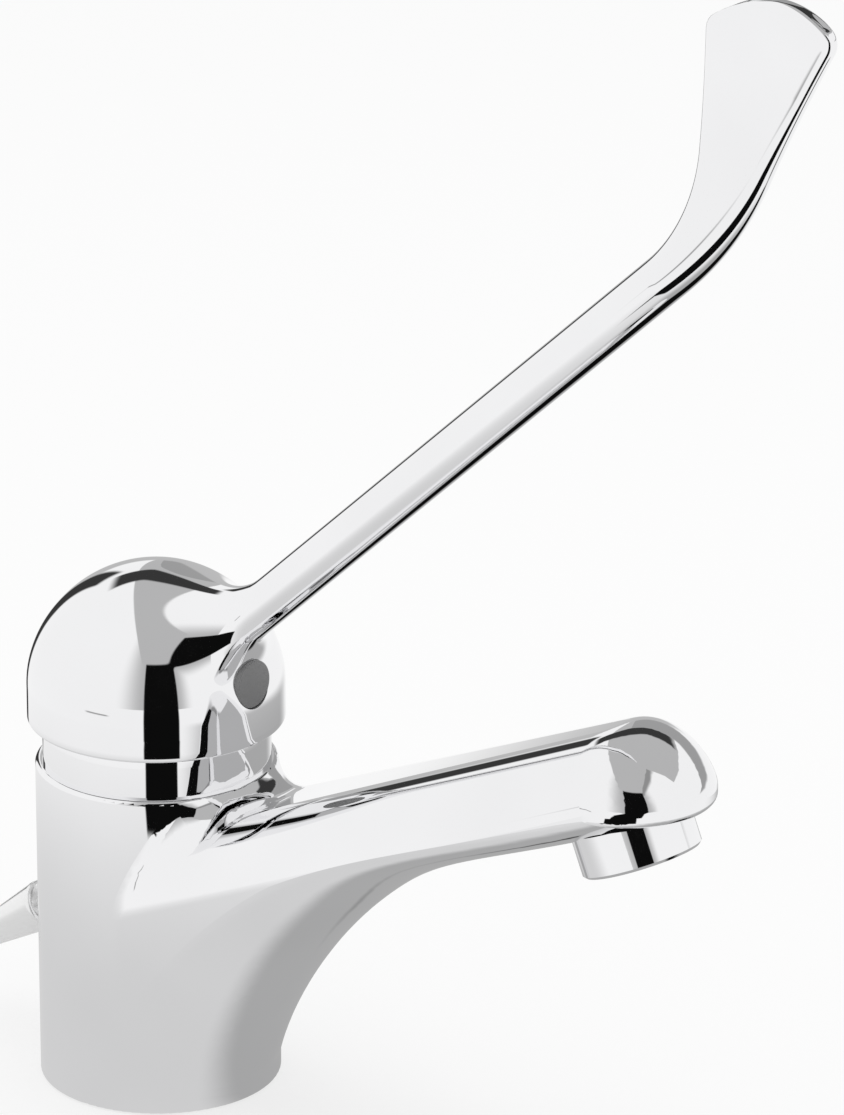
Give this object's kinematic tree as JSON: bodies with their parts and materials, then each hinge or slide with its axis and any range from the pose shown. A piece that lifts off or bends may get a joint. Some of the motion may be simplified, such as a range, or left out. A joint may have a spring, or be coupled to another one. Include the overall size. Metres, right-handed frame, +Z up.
{
  "type": "single-lever basin mixer",
  "caption": "Chrome single-lever basin mixer with a rising tapered spout, domed cap and a long angled lever that ends in a flat upright paddle.",
  "frame": {"origin": "centre of the round foot, on the plane of the deck", "axes": "+Z up from the deck, +X forwards along the spout and the lever, +Y to the right of a person who stands in front of the spout"},
  "size_m": [0.2179, 0.053, 0.2603],
  "materials": {
    "chrome_casting": "polished",
    "chrome_handle": "polished",
    "chrome_cover": "polished",
    "chrome_aerator": "polished",
    "chrome_waste": "satin",
    "nut_brass": "machined",
    "spindle_brass": "machined",
    "rod_brass": "machined",
    "pin_steel": "ground",
    "screen_steel": "fine mesh",
    "seal_rubber": "matt",
    "disc_ceramic": "lapped",
    "cartridge_plastic": "moulded",
    "carrier_plastic": "moulded",
    "insert_plastic": "moulded",
    "button_plastic": "smooth",
    "regulator_plastic": "moulded"
  },
  "bodies": {
    "mixer_body": {"body": "chrome_casting", "base_seal": "seal_rubber", "cover_ring": "chrome_cover", "retaining_nut": "nut_brass", "cartridge_base": "cartridge_plastic", "port_seals": "seal_rubber", "fixed_disc": "disc_ceramic", "cartridge_housing": "cartridge_plastic", "aerator_housing": "chrome_aerator", "aerator_gasket": "seal_rubber", "flow_regulator": "regulator_plastic", "aerator_screen": "screen_steel", "waste_pin": "pin_steel"},
    "turning_guide": {"spindle_guide": "carrier_plastic", "pivot_pin": "pin_steel"},
    "lever": {"spindle": "spindle_brass", "spindle_insert": "insert_plastic", "handle": "chrome_handle", "grub_screw": "pin_steel", "index_button": "button_plastic"},
    "sliding_disc": {"moving_disc": "disc_ceramic", "disc_carrier": "carrier_plastic"},
    "waste_control": {"waste_lever": "chrome_waste"},
    "waste_lift": {"lift_rod": "rod_brass"}
  },
  "joints": [
    {"name": "temperature_turn", "type": "hinge", "parent": "mixer_body", "child": "turning_guide", "pos_m": [0, 0, 0.076], "axis": [0, 0, 1], "range_deg": [-50, 50]},
    {"name": "flow_tilt", "type": "hinge", "parent": "turning_guide", "child": "lever", "pos_m": [0, 0, 0.076], "axis": [0, -1, 0], "range_deg": [0, 18]},
    {"name": "disc_slide", "type": "slide", "parent": "turning_guide", "child": "sliding_disc", "axis": [1, 0, 0], "range_m": [0, 0.0047]},
    {"name": "waste_swing", "type": "hinge", "parent": "mixer_body", "child": "waste_control", "pos_m": [-0.0178, 0, 0.037], "axis": [0, 1, 0], "range_deg": [-8, 8]},
    {"name": "lift_slide", "type": "slide", "parent": "mixer_body", "child": "waste_lift", "axis": [0, 0, 1], "range_m": [-0.0011, 0.0011]}
  ],
  "couplings": [
    {"joint": "disc_slide", "follows": "flow_tilt", "m_per_rad": 0.01475},
    {"joint": "lift_slide", "follows": "waste_swing", "m_per_rad": -0.0073}
  ]
}
